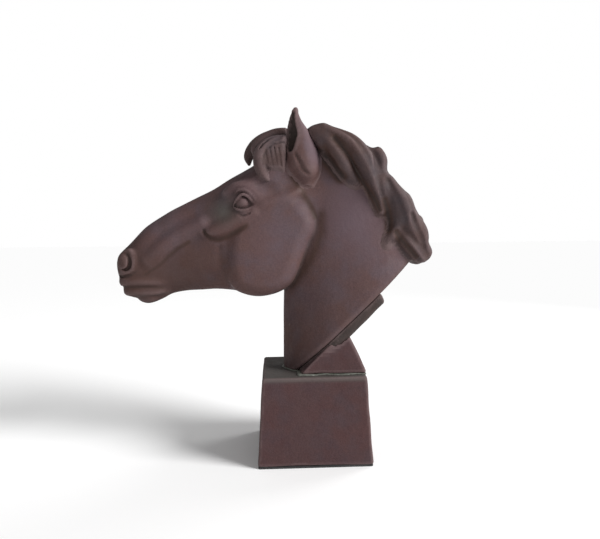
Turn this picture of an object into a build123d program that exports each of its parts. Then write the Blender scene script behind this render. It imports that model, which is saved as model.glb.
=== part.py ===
from build123d import *
from math import cos, sin, radians, pi, sqrt
import os

# Giant lawn chess knight: a hollow cast-iron horse head on a square plinth.
# Origin: middle of the underside.  +Z is up, the horse looks along -X and its
# left side is -Y.  Millimetres.  The bust is drawn with z = 0 at its foot and
# is lifted onto the plinth when it is saved.

# ---- plinth and base ----
plinth_height = 139.0        # ground to the plinth's top face
plinth_foot_width = 180.0
plinth_top_width = 163.0
plinth_edge_radius = 3.0     # upright edges
plinth_top_radius = 2.5      # edge round the top face
plinth_wall = 7.0
plinth_roof = 9.0
pad_thickness = 3.0
pad_inset = 1.0              # rubber pad in from the plinth's foot
plate_thickness = 4.0
corner_lug_size = 28.0       # lug in each corner of the plinth, in from its wall
corner_lug_height = 26.0
seal_thickness = 1.5         # joint putty under the bust
seal_margin = 2.0
seal_front_radius = 42.0     # the putty's round corners before the neck

# ---- bust castings ----
casting_wall = 7.0
fit_gap = 0.3                # between castings bedded on each other
cheek_radius = 88.0
cheek_half_width = 51.0
cheek_x = -80.0
cheek_z = 209.0
eye_radius = 12.0
eye_x = -111.0
eye_z = 271.0
eye_out = 40.0               # eyeball's centre out from the mid-plane
lid_thickness = 6.0
nostril_x = -291.0
nostril_z = 182.0
nostril_radius = 8.0
nostril_out = 31.0
mouth_z = 138.0
mouth_front = -330.0
mouth_back = -238.0
mouth_slot = 2.4
mouth_depth = 4.0
crest_ridge_radius = 6.0     # cheek bone under the eye
cut_angle = 42.0             # slope of the cut across the neck
cut_x = 11.0                 # a point on that cut
cut_z = 31.0
cover_inset = 4.0            # neck cover in from the neck's outside
cover_depth = 13.0           # crown of the neck cover
cover_crown_radius = 900.0
cover_crown_place = 46.0     # deepest place, along the cut
cover_end = 119.0            # x where the neck cover ends
wedge_foot_half_width = 66.0
wedge_top_half_width = 46.0
wedge_front = -30.0          # x, under the neck cover
wedge_foot_back = 90.0
wedge_top_back = 46.0
wedge_height = 76.0
wedge_wall = 7.0
ear_out = 42.0               # ear's axis out from the mid-plane
ear_height = 419.0           # tip of the ear above the bust's foot

# ---- fasteners ----
bolt_diameter = 8.0          # foot bolts, seam bolts and studs
bolt_head_height = 5.3
bolt_flats = 13.0
nut_height = 6.5
washer_diameter = 16.0
washer_thickness = 1.6
bore_clearance = 0.4         # on diameter, fasteners in their holes
foot_bolt_grip = 16.0        # foot bolt's length in the castings
foot_boss_diameter = 16.0
neck_bolt_out = 14.0         # neck's bolts out from the mid-plane
wedge_bolt_out = 38.0
seam_lug_diameter = 24.0
seam_lug_depth = 12.0        # each half's lug, out from the mid-plane
dowel_diameter = 8.0
dowel_length = 28.0
dowel_boss_diameter = 18.0
rod_diameter = 12.0
rod_x = 12.0
rod_nut_flats = 18.0
rod_nut_height = 10.0
rod_washer_diameter = 24.0
rod_washer_thickness = 2.5
bridge_height = 130.0        # underside of the bridge that the tie rod pulls on
bridge_thickness = 12.0
bridge_width = 40.0
stud_grip = 14.0             # stud's length in an ear or a lock
stud_boss_diameter = 20.0
stud_boss_depth = 15.0       # boss for a stud, in from the shell's outside
screw_diameter = 6.0         # countersunk screws of the neck cover and base plate
screw_head_diameter = 11.5
screw_head_height = 3.3
cover_screw_grip = 12.0
base_screw_grip = 16.0

section_arcs = 6             # points round half a section, less one
loft_sections = 16
hair_sections = 18
far = 400.0                  # larger than the bust, for half spaces
foot_level = plinth_height + seal_thickness
bolt_bore = bolt_diameter + bore_clearance
screw_bore = screw_diameter + bore_clearance
rod_bore = rod_diameter + bore_clearance
spot_face = washer_diameter / 2 + 1.0                # faced round a washer, radius and depth
spot_depth = washer_thickness + nut_height + 3.5

# Head, muzzle to poll: x, lowest z, highest z, half widths low / middle / high.
head_rows = [
    (-316, 160, 180, 9, 13, 11),
    (-311, 141, 193, 16, 25, 18),
    (-303, 122, 201, 19, 31, 23),
    (-285, 116, 219, 20, 34, 25),
    (-265, 111, 238, 20, 34, 24),
    (-235, 123, 257, 21, 32, 23),
    (-200, 129, 274, 25, 35, 25),
    (-160, 131, 296, 30, 42, 32),
    (-120, 128, 318, 33, 47, 47),
    (-80, 121, 343, 34, 49, 54),
    (-40, 135, 364, 30, 48, 52),
    (-5, 190, 373, 26, 43, 42),
    (20, 250, 372, 18, 34, 32),
]
# Sand core of the head: x, middle z, half height, half width.
head_core_rows = [(-287, 166, 34, 22), (-235, 190, 52, 22), (-160, 213, 68, 29), (-80, 234, 92, 36), (-15, 272, 78, 32)]
# Sand core of the neck: z, middle x, half length, half width.
neck_core_rows = [(-20, 10, 48, 42), (60, 33, 71, 45), (130, 55, 92, 43), (200, 66, 97, 38), (260, 58, 79, 34), (318, 34, 52, 27)]
# Neck, foot to poll: z, front x, back x, half widths front / middle / back.
neck_rows = [
    (0, -46, 66, 54, 57, 54),
    (60, -46, 115, 48, 58, 50),
    (120, -46, 160, 44, 57, 44),
    (170, -43, 184, 40, 54, 40),
    (229, -32, 175, 38, 48, 42),
    (289, -27, 133, 38, 44, 42),
    (334, -38, 97, 38, 40, 38),
    (364, -30, 56, 28, 30, 28),
    (378, -8, 28, 16, 18, 16),
]
# Mane, poll to withers, round its pivot: degrees, inner and outer radius, half widths.
mane_x = 10.0
mane_z = 199.0
mane_rows = [
    (-10, 164, 180, 16, 18, 12),
    (-5, 148, 193, 36, 38, 20),
    (4, 116, 183, 50, 50, 30),
    (12, 106, 187, 53, 52, 34),
    (25, 109, 175, 52, 50, 34),
    (36, 112, 168, 50, 48, 32),
    (46, 114, 170, 48, 46, 32),
    (57, 115, 190, 46, 45, 32),
    (66, 114, 188, 44, 43, 30),
    (76, 120, 193, 42, 40, 28),
    (86, 142, 201, 36, 34, 24),
    (96, 168, 193, 22, 20, 16),
]
# Locks over the mane, crest to tip: degrees, radius from the pivot, y out, thickness.
mane_locks = [
    [(88, 184, 10, 10), (78, 172, 26, 12), (67, 152, 37, 11), (60, 128, 44, 5)],
    [(72, 180, 14, 11), (60, 170, 32, 13), (49, 150, 42, 11), (44, 126, 49, 5)],
    [(56, 174, 14, 12), (43, 157, 34, 13), (30, 138, 46, 11), (21, 118, 51, 5)],
    [(38, 156, 16, 11), (26, 156, 34, 13), (12, 146, 47, 11), (3, 134, 50, 5)],
    [(20, 162, 14, 11), (9, 168, 30, 12), (0, 166, 37, 9), (-5, 160, 34, 4)],
]
# Locks of the forelock, root to tip: x, y, z, radius.
left_forelock = [
    [(-34, -16, 374, 10), (-60, -20, 377, 13), (-82, -27, 360, 13), (-86, -33, 336, 11), (-77, -42, 309, 5)],
    [(-42, -28, 366, 11), (-57, -34, 352, 13), (-62, -42, 334, 11), (-58, -47, 318, 5)],
]
right_forelock = [
    [(-34, 13, 382, 10), (-62, 17, 385, 12), (-88, 22, 369, 12), (-100, 27, 350, 10), (-97, 34, 332, 5)],
    [(-42, 26, 370, 12), (-60, 32, 356, 13), (-70, 40, 338, 11), (-66, 46, 320, 5)],
]
# Ear: height above the foot, middle x, half depth along x, half width along y.
ear_rows = [
    (300, -12, 15, 12),
    (325, -14, 22, 17),
    (345, -13, 25, 18),
    (362, -16, 23, 17),
    (380, -19, 18, 14),
    (400, -23, 10, 9),
    (ear_height - 4, -24, 4, 4),
]
ear_cup_shift = -8.0         # the ear's hollow, forwards and outwards of its axis
# Studs that hold the hair: the mane's by degrees and radius, then the rest.
mane_stud_out = 12.0
mane_studs = [(80, 174), (45, 152), (14, 163)]
ear_stud = (Vector(-14, -37, 322), Vector(0, 0.75, -0.66))
forelock_stud = (Vector(-54, -26, 345), Vector(0.25, 0.35, -0.9))

cut_plane = Plane(
    origin=(cut_x, 0, cut_z),
    x_dir=(cos(radians(cut_angle)), 0, sin(radians(cut_angle))),
    z_dir=(-sin(radians(cut_angle)), 0, cos(radians(cut_angle))),
)


# ------------------------------------------------------------ smooth sections
def smooth_rows(rows, count):
    """Rows spaced evenly along the first column, on smooth curves through the given ones."""
    result = []
    for step in range(count):
        at = rows[0][0] + (rows[-1][0] - rows[0][0]) * step / (count - 1)
        index = 0
        while index < len(rows) - 2 and rows[index + 1][0] < at:
            index += 1
        span = rows[index + 1][0] - rows[index][0]
        share = (at - rows[index][0]) / span
        row = [at]
        for column in range(1, len(rows[0])):
            start = slope(rows, index, column) * span
            finish = slope(rows, index + 1, column) * span
            low, high = rows[index][column], rows[index + 1][column]
            rise = 3 * (high - low) - 2 * start - finish
            bend = 2 * (low - high) + start + finish
            row.append(low + start * share + rise * share ** 2 + bend * share ** 3)
        result.append(row)
    return result


def slope(rows, index, column):
    """Slope of a column at a row, from the rows on either side."""
    before = rows[max(index - 1, 0)]
    after = rows[min(index + 1, len(rows) - 1)]
    return (after[column] - before[column]) / (after[0] - before[0])


def half_section(low, high, half_widths, place):
    """Left half of a section: a smooth curve from low to high, closed on the mid-plane."""
    low_width, middle_width, high_width = half_widths
    points = []
    for step in range(section_arcs + 1):
        turn = pi * step / section_arcs
        swing = (high_width - low_width) / 2 * cos(turn)
        bow = ((high_width + low_width) / 2 - middle_width) * cos(turn) ** 2
        along = (low + high) / 2 - (high - low) / 2 * cos(turn)
        points.append(place(along, -sin(turn) * (middle_width - swing + bow)))
    outside = Spline(*points, tangents=((0, -1, 0), (0, 1, 0)))
    return Face(Wire([outside, Line(points[-1], points[0])]))


def half_loft(rows, count, inset, place):
    """Left half of a form lofted through its rows, all sections drawn inset."""
    thinnest = 3.0
    sections = []
    for at, low, high, *widths in smooth_rows(rows, count):
        widths = [max(width - inset, thinnest) for width in widths]
        sections.append(half_section(low + inset, high - inset, widths, place(at)))
    return loft(sections)


def both(left):
    """A left half and its mirror image as one solid."""
    return left + mirror(left, Plane.XZ)


# ------------------------------------------------------------- forms of the bust
def head_half(inset=0.0):
    """Muzzle to poll; an inset form stops short of the muzzle and the poll."""
    rows = head_rows if inset <= 0 else head_rows[1:-1]
    return half_loft(rows, loft_sections, inset, lambda x: lambda z, y: (x, y, z))


def neck_half(inset=0.0):
    """Neck from its foot to the poll."""
    rows = neck_rows if inset <= 0 else neck_rows[:-1]
    return half_loft(rows, loft_sections, inset, lambda z: lambda x, y: (x, y, z))


def cheek_half(inset=0.0):
    """Round of the jaw: half of a crowned disc that lies across the head."""
    radius = cheek_radius - inset
    crown = cheek_half_width - inset
    rim = Spline((0, crown), (radius * 0.6, crown * 0.95), (radius * 0.9, crown * 0.66), (radius, 0),
                 tangents=((1, 0), (0, -1)))
    profile = Face(Wire([rim, Line((radius, 0), (0, 0)), Line((0, 0), (0, crown))]))
    return Pos(cheek_x, 0, cheek_z) * mirror(revolve(profile, Axis.Y), Plane.XZ)


def mane_half():
    """Blanket of hair over the crest, without its locks."""
    def place(angle):
        across, up = cos(radians(angle)), sin(radians(angle))
        return lambda radius, y: (mane_x + radius * across, y, mane_z + radius * up)
    return half_loft(mane_rows, hair_sections, 0, place)


def strand(points):
    """Tapered lock of hair, round in section, through (place, radius) points."""
    sections = []
    last = len(points) - 1
    for index, (place, radius) in enumerate(points):
        ahead = Vector(points[min(index + 1, last)][0])
        behind = Vector(points[max(index - 1, 0)][0])
        tangent = (ahead - behind).normalized()
        sideways = Vector(0, 1, 0) - tangent * tangent.Y
        plane = Plane(origin=place, x_dir=sideways, z_dir=tangent)
        sections.append(plane * Face(Wire([Edge.make_circle(radius)])))
    return loft(sections)


def ear_solid(inset=0.0, shift=0.0, skip=0):
    """Left ear's outside, or its hollow when inset and shifted."""
    sections = []
    for z, x, depth, width in ear_rows[skip:]:
        outline = Edge.make_ellipse(max(depth - inset, 2), max(width - inset, 2))
        sections.append(Pos(x + shift, -ear_out + shift, z) * Face(Wire([outline])))
    return loft(sections)


def below_cut():
    """Everything under the cut across the neck."""
    block = Box(3 * far, 2 * far, far, align=(Align.CENTER, Align.CENTER, Align.MAX))
    return cut_plane.location * block


def crown_drum(extra=0.0):
    """Wide drum across the bust whose underside is the neck cover's crown."""
    radius = cover_crown_radius + extra
    centre = cut_plane.location * Pos(cover_crown_place, 0, cover_crown_radius - cover_depth)
    return centre * Rot(90, 0, 0) * Cylinder(radius, far)


def cover_depth_at(along):
    """Thickness of the neck cover at a place along the cut."""
    side = along - cover_crown_place
    return sqrt(cover_crown_radius ** 2 - side ** 2) - cover_crown_radius + cover_depth


# ---------------------------------------------------------------- small helpers
def crossways(x, z, radius, low, high):
    """Cylinder along Y from low to high."""
    return Pos(x, (low + high) / 2, z) * Rot(90, 0, 0) * Cylinder(radius, high - low)


def upright(x, y, radius, low, high):
    """Cylinder along Z from low to high."""
    return Pos(x, y, (low + high) / 2) * Cylinder(radius, high - low)


def hexagon(flats, height):
    """Hexagonal prism standing on z = 0."""
    return extrude(RegularPolygon(flats / 2, 6, major_radius=False), height)


def disc(diameter, bore, height):
    """Round plate with a hole, standing on z = 0."""
    return extrude(Circle(diameter / 2) - Circle(bore / 2), height)


def along_axis(place, direction):
    """Location at a place with its z axis along a direction."""
    return Plane(origin=place, x_dir=(1, 0, 0) if abs(direction.X) < 0.9 else (0, 0, 1), z_dir=direction).location


def flipped(place, direction):
    """Mirror image of a place and direction across the mid-plane."""
    return Vector(place.X, -place.Y, place.Z), Vector(direction.X, -direction.Y, direction.Z)


def countersunk(grip):
    """Countersunk screw, head's face on z = 0, pointing up."""
    head = Pos(0, 0, screw_head_height / 2) * Cone(screw_head_diameter / 2, screw_diameter / 2, screw_head_height)
    shank = upright(0, 0, screw_diameter / 2, screw_head_height, grip)
    return head + shank


def countersink(depth):
    """Hole for a countersunk screw through a plate, from z = 0 up."""
    slack = bore_clearance / 2
    top = Cone(screw_head_diameter / 2 + slack, screw_bore / 2, screw_head_height)
    return Pos(0, 0, screw_head_height / 2) * top + upright(0, 0, screw_bore / 2, -1, depth)


# ------------------------------------------------------------ where fasteners go
def neck_bolt_places():
    """The neck's own bolts, each side of the seam at its front."""
    x = neck_rows[0][1] + casting_wall + foot_boss_diameter * 0.3
    return [(x, -neck_bolt_out), (x, neck_bolt_out)]


def wedge_bolt_places():
    """The wedge's four bolts."""
    back = wedge_foot_back - wedge_wall - foot_boss_diameter
    front = back - 2 * foot_boss_diameter
    return [(x, y) for x in (front, back) for y in (-wedge_bolt_out, wedge_bolt_out)]


def seam_bolt_places():
    """Lugs inside the neck's front and crest."""
    inner = casting_wall + seam_lug_diameter * 0.35
    front = neck_rows[1]
    places = [(front[1] + inner, front[0] + seam_lug_diameter / 2)]
    for row in (neck_rows[4], neck_rows[6]):
        places.append((row[2] - 2.8 * inner, row[0] - seam_lug_diameter / 3))
    return places


def dowel_places():
    """Dowels across the seam of the head, at the middle of its height."""
    return [(row[0], (row[1] + row[2]) / 2) for row in (head_rows[4], head_rows[6], head_rows[8], head_rows[9])]


def cover_screw_places():
    """The neck cover's screws on the left: along the cut, across it."""
    edge = neck_rows[1][4] - casting_wall - screw_head_diameter / 2
    return [(18.0, -edge), (100.0, -edge + screw_head_diameter / 2)]


def stud_places():
    """Left studs: place on the shell and direction into it."""
    places = []
    for angle, radius in mane_studs:
        across, up = cos(radians(angle)), sin(radians(angle))
        place = Vector(mane_x + radius * across, -mane_stud_out, mane_z + radius * up)
        places.append((place, Vector(-across, 0, -up)))
    return places + [ear_stud, forelock_stud]


# --------------------------------------------------------------- bust castings
def eye():
    """Left eyeball with the ring of its lids."""
    ball = Pos(eye_x, -eye_out, eye_z) * Sphere(eye_radius)
    lids = Pos(eye_x, -eye_out - eye_radius * 0.4, eye_z) * Rot(90, 0, 0) * Torus(eye_radius, lid_thickness / 2)
    return ball + lids


def cheek_bone():
    """Ridge that runs forwards and down from under the eye."""
    radius = crest_ridge_radius
    points = [(-172, -34, 214, 0.4), (-150, -40, 216, 1), (-120, -45, 226, 1), (-92, -47, 240, 0.5)]
    return strand([((x, y, z), radius * share) for x, y, z, share in points])


def nostril():
    """Hollow of the left nostril."""
    return Pos(nostril_x, -nostril_out, nostril_z) * scale(Sphere(nostril_radius), by=(1, 0.9, 1.5))


def mouth():
    """Slot between the lips, cut in from the left."""
    length = mouth_back - mouth_front
    slot = Box(length, far, mouth_slot, align=(Align.MIN, Align.MAX, Align.CENTER))
    return Pos(mouth_front, 0, mouth_z) * slot - head_half(mouth_depth)


def left_core():
    """Sand core that leaves the left shell hollow, with its lugs left out."""
    core = loft([Pos(x, 0, z) * Ellipse(rx, ry) for z, x, rx, ry in neck_core_rows])
    core = core + loft([Pos(x, 0, z) * Rot(0, 90, 0) * Ellipse(rz, ry) for x, z, rz, ry in head_core_rows])
    core = core & Box(2 * far, far, 2 * far, align=(Align.CENTER, Align.MAX, Align.CENTER))
    return core - lugs()


def lugs():
    """Lugs and bosses that stand into the left shell."""
    solids = [upright(*neck_bolt_places()[0], foot_boss_diameter / 2, -far / 8, foot_bolt_grip + casting_wall)]
    for x, z in seam_bolt_places():
        solids.append(crossways(x, z, seam_lug_diameter / 2, -seam_lug_depth, 0))
    web = Box(2 * seam_lug_diameter, seam_lug_depth, seam_lug_diameter, align=(Align.MIN, Align.MAX, Align.CENTER))
    for x, z in seam_bolt_places()[1:]:
        solids.append(Pos(x, 0, z) * web)
    bridge = Box(bridge_width, far, bridge_thickness, align=(Align.CENTER, Align.MAX, Align.MIN))
    solids.append(Pos(rod_x, 0, bridge_height) * bridge)
    for along, across in cover_screw_places():
        boss = Cylinder(foot_boss_diameter / 2, 3 * cover_screw_grip)
        solids.append(cut_plane.location * Pos(along, across, 0) * boss)
    for x, z in dowel_places():
        solids.append(crossways(x, z, dowel_boss_diameter / 2, -far, 0))
    boss = upright(0, 0, stud_boss_diameter / 2, -stud_boss_diameter, stud_boss_depth)
    return solids + [along_axis(*stud) * boss for stud in stud_places()]


def left_shell():
    """Left half of head and neck: a hollow casting, open at the cut."""
    shell = (neck_half() - below_cut()) + head_half() + cheek_half()
    shell = shell + eye() + cheek_bone() - nostril() - mouth()
    shell = shell - left_core()
    for hole in left_holes():
        shell = shell - hole
    return shell


def left_holes():
    """Every hole in the left shell."""
    x, y = neck_bolt_places()[0]
    holes = [upright(x, y, bolt_bore / 2, -1, foot_bolt_grip + 1), upright(rod_x, 0, rod_bore / 2, 0, far)]
    for x, z in seam_bolt_places():
        holes.append(crossways(x, z, bolt_bore / 2, -far / 8, 1))
        holes.append(crossways(x, z, spot_face, -seam_lug_depth - spot_depth, -seam_lug_depth))
    for x, z in dowel_places():
        holes.append(crossways(x, z, (dowel_diameter + bore_clearance) / 2, -dowel_length / 2 - 0.5, 1))
    for along, across in cover_screw_places():
        holes.append(cut_plane.location * Pos(along, across, 0) * upright(0, 0, screw_bore / 2, -1, cover_screw_grip + 1))
    for place, direction in stud_places():
        axis = along_axis(place, direction)
        holes.append(axis * upright(0, 0, bolt_bore / 2, -stud_boss_diameter, stud_boss_depth + 1))
        holes.append(axis * upright(0, 0, spot_face, stud_boss_depth, stud_boss_depth + spot_depth))
    return holes


def left_ear():
    """Upright ear, cupped forwards and outwards, on a stud hole."""
    ear = ear_solid() - ear_solid(casting_wall * 0.7, ear_cup_shift, 2)
    ear = ear - head_half(-fit_gap) - neck_half(-fit_gap)
    return ear - stud_hole(ear_stud)


def stud_hole(stud):
    """Blind hole for a stud, out into the piece that it holds."""
    place, direction = stud
    return along_axis(place, direction) * upright(0, 0, bolt_bore / 2, -stud_grip - 1, far / 20)


def mane():
    """Mane casting that caps the crest on both sides."""
    locks = []
    for lock in mane_locks:
        points = []
        for angle, radius, out, thickness in lock:
            across, up = cos(radians(angle)), sin(radians(angle))
            points.append(((mane_x + radius * across, -out, mane_z + radius * up), thickness))
        locks.append(strand(points))
    left = mane_half() + locks - [neck_half(-fit_gap), head_half(-fit_gap), ear_solid(-fit_gap)]
    left = left - [stud_hole(stud) for stud in stud_places()[:len(mane_studs)]]
    return both(left)


def forelock(locks, side):
    """Locks that fall over the forehead on one side (-1 left, 1 right)."""
    hair = strand([((x, y, z), radius) for x, y, z, radius in locks[0]])
    for lock in locks[1:]:
        hair = hair + strand([((x, y, z), radius) for x, y, z, radius in lock])
    block = Box(far, far, 2 * far, align=(Align.CENTER, Align.MIN, Align.CENTER))
    cuts = [head_half(-fit_gap), neck_half(-fit_gap), ear_solid(-fit_gap), stud_hole(forelock_stud)]
    if side > 0:
        cuts = [mirror(cut, Plane.XZ) for cut in cuts]
    seam = Pos(0, fit_gap / 2, 0) * block
    kept = hair & (seam if side > 0 else mirror(seam, Plane.XZ))
    return kept - cuts


def neck_cover():
    """Domed plate that closes the neck's cut."""
    left = neck_half(cover_inset) & below_cut() & crown_drum()
    left = left & Pos(cover_end, 0, 0) * Box(2 * far, 2 * far, 2 * far, align=(Align.MAX, Align.CENTER, Align.CENTER))
    holes = [upright(rod_x, 0, rod_bore / 2, -far, far)]
    for along, across in cover_screw_places():
        face = cut_plane.location * Pos(along, across, -cover_depth_at(along))
        holes.append(face * countersink(cover_depth + 2))
    return both(left - holes)


def neck_wedge():
    """Hollow wedge that carries the neck cover on the plinth."""
    outside = wedge_block(0) - crown_drum(fit_gap)
    inside = wedge_block(wedge_wall) - crown_drum(wedge_wall + fit_gap)
    shell = outside - inside
    posts = [upright(x, y, foot_boss_diameter / 2, 0, wedge_height) & outside for x, y in wedge_bolt_places()]
    posts.append(upright(rod_x, 0, rod_washer_diameter / 2, 0, wedge_height) & outside)
    bores = [upright(x, y, bolt_bore / 2, -1, foot_bolt_grip + 1) for x, y in wedge_bolt_places()]
    bores.append(upright(rod_x, 0, rod_bore / 2, -1, wedge_height))
    return shell + posts - bores


def wedge_block(inset):
    """Tapered block of the wedge, open downwards when inset."""
    sections = []
    for z, back, half_width in ((0, wedge_foot_back, wedge_foot_half_width),
                                (wedge_height, wedge_top_back, wedge_top_half_width)):
        length = back - wedge_front - 2 * inset
        outline = Rectangle(length, 2 * (half_width - inset), align=(Align.MIN, Align.CENTER))
        sections.append(Pos(wedge_front + inset, 0, z) * outline)
    return loft(sections)


def foot_seal():
    """Thin bed of putty under the neck and the wedge."""
    length = wedge_foot_back - neck_rows[0][1] + 2 * seal_margin
    width = 2 * (wedge_foot_half_width + seal_margin)
    sheet = Pos(neck_rows[0][1] - seal_margin, 0) * Rectangle(length, width, align=(Align.MIN, Align.CENTER))
    corners = sheet.vertices().sort_by(Axis.X)[:2]
    sheet = fillet(corners, seal_front_radius)
    sheet = sheet - [Pos(x, y) * Circle(bolt_bore / 2) for x, y in neck_bolt_places() + wedge_bolt_places()]
    sheet = sheet - Pos(rod_x, 0) * Circle(rod_bore / 2)
    return Pos(0, 0, -seal_thickness) * extrude(sheet, seal_thickness)


# ------------------------------------------------------------- plinth and base
def plinth_taper(low, high, inset):
    """Solid of the plinth's taper between two heights above the ground."""
    sections = []
    for z in (low, high):
        share = (z - pad_thickness) / (plinth_height - pad_thickness)
        width = plinth_foot_width + (plinth_top_width - plinth_foot_width) * share - 2 * inset
        sections.append(Pos(0, 0, z) * RectangleRounded(width, width, plinth_edge_radius))
    return loft(sections)


def plinth():
    """Hollow tapered plinth, open below, with corner lugs and a drilled roof."""
    outside = plinth_taper(pad_thickness, plinth_height, 0)
    top_edges = outside.edges().group_by(Axis.Z)[-1]
    outside = fillet(top_edges, plinth_top_radius)
    under_roof = plinth_height - plinth_roof
    body = outside - plinth_taper(pad_thickness, under_roof, plinth_wall)
    lug_low = pad_thickness + plate_thickness
    reach = plinth_foot_width / 2 - plinth_wall - corner_lug_size
    lugs = []
    bores = []
    for side_x, side_y in corner_signs():
        block = Box(far, far, corner_lug_height, align=(Align.MIN, Align.MIN, Align.MIN))
        block = Pos(reach, reach, lug_low) * block
        if side_x < 0:
            block = mirror(block, Plane.YZ)
        if side_y < 0:
            block = mirror(block, Plane.XZ)
        lugs.append(block & plinth_taper(lug_low, lug_low + corner_lug_height, plinth_wall / 2))
    for x, y in base_screw_places():
        bores.append(upright(x, y, screw_bore / 2, 0, pad_thickness + plate_thickness + base_screw_grip))
    for x, y in neck_bolt_places() + wedge_bolt_places():
        bores.append(upright(x, y, bolt_bore / 2, under_roof - 1, plinth_height + 1))
    bores.append(upright(rod_x, 0, rod_bore / 2, under_roof - 1, plinth_height + 1))
    return body + lugs - bores


def corner_signs():
    return [(x, y) for x in (-1, 1) for y in (-1, 1)]


def base_screw_places():
    """Screws of the base plate, in the middle of the corner lugs."""
    out = plinth_foot_width / 2 - plinth_wall - corner_lug_size / 2
    return [(x * out, y * out) for x, y in corner_signs()]


def base_plate():
    """Steel plate let into the plinth's open underside."""
    plate = plinth_taper(pad_thickness, pad_thickness + plate_thickness, plinth_wall + fit_gap)
    holes = [Pos(x, y, pad_thickness) * countersink(plate_thickness + 1) for x, y in base_screw_places()]
    return plate - holes


def base_pad():
    """Rubber pad that the piece stands on."""
    width = plinth_foot_width - 2 * pad_inset
    return extrude(RectangleRounded(width, width, plinth_edge_radius), pad_thickness)


# ------------------------------------------------------------------- fasteners
def foot_bolts():
    """Hexagon bolts from inside the plinth up into the castings."""
    low = -seal_thickness - plinth_roof - washer_thickness
    bolts = []
    for x, y in neck_bolt_places() + wedge_bolt_places():
        head = Pos(x, y, low - bolt_head_height) * hexagon(bolt_flats, bolt_head_height)
        bolts.append(head + upright(x, y, bolt_diameter / 2, low, foot_bolt_grip))
    return bolts


def foot_washers():
    low = -seal_thickness - plinth_roof - washer_thickness
    places = neck_bolt_places() + wedge_bolt_places()
    return [Pos(x, y, low) * disc(washer_diameter, bolt_bore, washer_thickness) for x, y in places]


def tie_rod_ends():
    """Levels of the rod's lower and upper seats."""
    return -seal_thickness - plinth_roof, bridge_height + bridge_thickness


def tie_rod():
    """Threaded rod that pulls the head down on the plinth."""
    low, high = tie_rod_ends()
    past = rod_washer_thickness + rod_nut_height + rod_diameter / 4
    return upright(rod_x, 0, rod_diameter / 2, low - past, high + past)


def tie_rod_nuts():
    low, high = tie_rod_ends()
    nuts = []
    for z in (low - rod_washer_thickness - rod_nut_height, high + rod_washer_thickness):
        nut = Pos(rod_x, 0, z) * hexagon(rod_nut_flats, rod_nut_height)
        nuts.append(nut - upright(rod_x, 0, rod_bore / 2, z - 1, z + rod_nut_height + 1))
    return nuts


def tie_rod_washers():
    low, high = tie_rod_ends()
    levels = (low - rod_washer_thickness, high)
    return [Pos(rod_x, 0, z) * disc(rod_washer_diameter, rod_bore, rod_washer_thickness) for z in levels]


def seam_seats():
    """Left end of each seam bolt's lugs, z axis to the right."""
    return [Pos(x, -seam_lug_depth, z) * Rot(-90, 0, 0) for x, z in seam_bolt_places()]


def seam_bolts():
    """Bolts across the seam, heads on the left lugs."""
    length = 2 * seam_lug_depth + washer_thickness + nut_height + bolt_diameter / 4
    bolts = []
    for seat in seam_seats():
        head = Pos(0, 0, -washer_thickness - bolt_head_height) * hexagon(bolt_flats, bolt_head_height)
        bolts.append(seat * (head + upright(0, 0, bolt_diameter / 2, -washer_thickness, length)))
    return bolts


def seam_washers():
    ring = disc(washer_diameter, bolt_bore, washer_thickness)
    levels = (-washer_thickness, 2 * seam_lug_depth)
    return [seat * Pos(0, 0, level) * ring for seat in seam_seats() for level in levels]


def nut_blank():
    """Hexagon nut standing on z = 0."""
    return hexagon(bolt_flats, nut_height) - upright(0, 0, bolt_bore / 2, -1, nut_height + 1)


def seam_nuts():
    level = 2 * seam_lug_depth + washer_thickness
    return [seat * Pos(0, 0, level) * nut_blank() for seat in seam_seats()]


def seam_dowels():
    """Plain pins that line up the halves of the head."""
    half = dowel_length / 2
    return [crossways(x, z, dowel_diameter / 2, -half, half) for x, z in dowel_places()]


def on_studs(blank, studs):
    """A part repeated on each stud's axis, left and right."""
    parts = []
    for stud in studs:
        for place, direction in (stud, flipped(*stud)):
            parts.append(along_axis(place, direction) * blank)
    return parts


def stud_blank():
    end = stud_boss_depth + washer_thickness + nut_height + bolt_diameter / 4
    return upright(0, 0, bolt_diameter / 2, -stud_grip, end)


def cover_screws():
    """Countersunk screws up into the neck's rim."""
    screws = []
    for along, across in cover_screw_places():
        depth = cover_depth_at(along)
        screw = cut_plane.location * Pos(along, across, -depth) * countersunk(depth + cover_screw_grip)
        screws += [screw, mirror(screw, Plane.XZ)]
    return screws


def base_screws():
    """Countersunk screws up through the base plate."""
    grip = plate_thickness + base_screw_grip - 1
    return [Pos(x, y, pad_thickness) * countersunk(grip) for x, y in base_screw_places()]


# ------------------------------------------------------------------------ write
def save(node, shape, lift=foot_level):
    """One STEP file per node, bust pieces lifted onto the plinth."""
    solids = shape if isinstance(shape, list) else [shape]
    export_step(Compound([Pos(0, 0, lift) * solid for piece in solids for solid in piece.solids()]),
                f"parts/{node}.step")


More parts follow.
